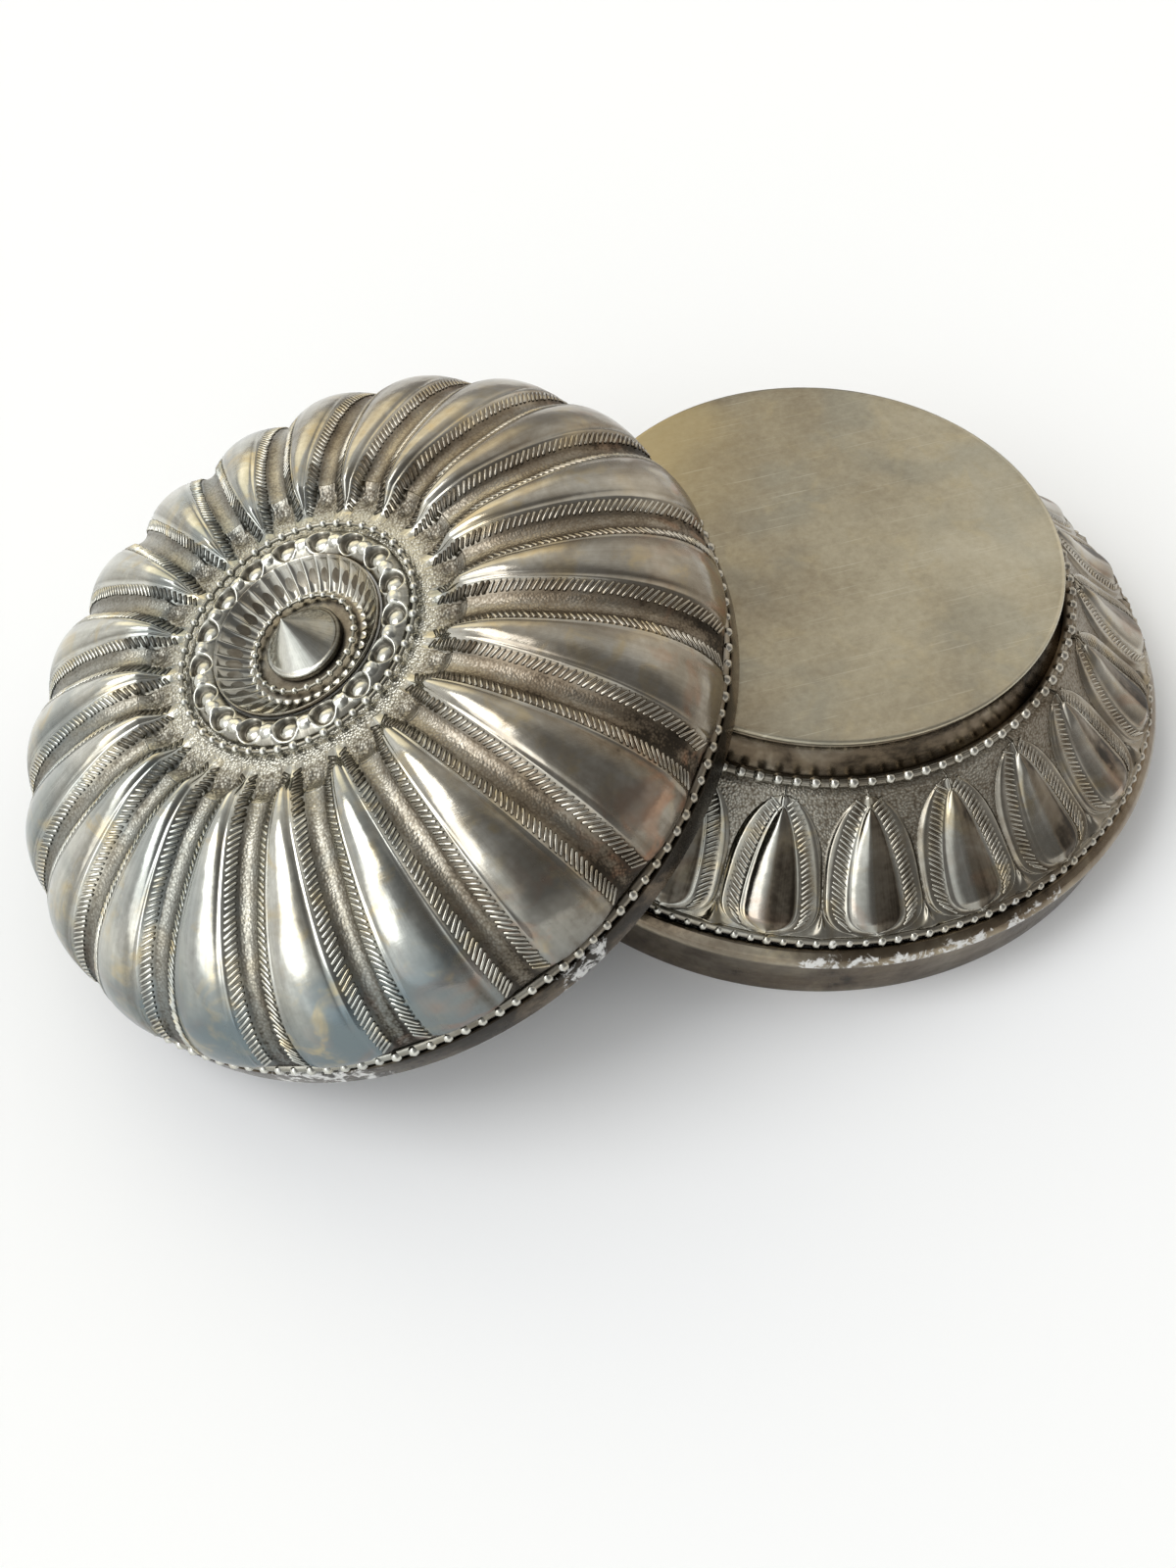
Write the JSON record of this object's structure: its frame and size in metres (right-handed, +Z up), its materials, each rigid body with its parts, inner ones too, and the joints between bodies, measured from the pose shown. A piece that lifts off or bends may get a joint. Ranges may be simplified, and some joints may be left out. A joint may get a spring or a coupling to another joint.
{
  "type": "round lidded box",
  "caption": "Round chased silver box with a lobed dome lid leaning on its upturned bowl; the lid lifts away.",
  "frame": {"origin": "middle of the object's footprint on the table, at table height", "axes": "+Z up, square to the bowl's foot plate; +X from the lid towards the bowl; +Y away from the viewer"},
  "size_m": [0.2424, 0.1524, 0.0754],
  "materials": {
    "chased_silver": "chased sheet, polished on the crests, dark tarnish in the hollows",
    "plain_silver": "plain polished band, brown tarnish",
    "beaded_silver": "beaded wire, bright tops, dark between the beads",
    "satin_silver": "satin plate, fine scratches, warm stains",
    "polished_silver": "polished"
  },
  "bodies": {
    "bowl": {"rim_collar": "plain_silver", "rim_ledge": "plain_silver", "rim_bead_wire": "beaded_silver", "bowl_wall": "chased_silver", "foot_bead_wire": "beaded_silver", "foot_ring": "plain_silver", "foot_plate": "satin_silver"},
    "lid": {"lid_band": "plain_silver", "lid_bead_wire": "beaded_silver", "lid_dome": "chased_silver", "medallion_bead_wire": "beaded_silver", "medallion_ring": "polished_silver", "medallion_cup": "chased_silver", "cone_bead_wire": "beaded_silver", "finial_cone": "polished_silver"}
  },
  "joints": [
    {"name": "lid_lift", "type": "slide", "parent": "bowl", "child": "lid", "axis": [0, 0, 1], "range_m": [0, 0.12]}
  ]
}
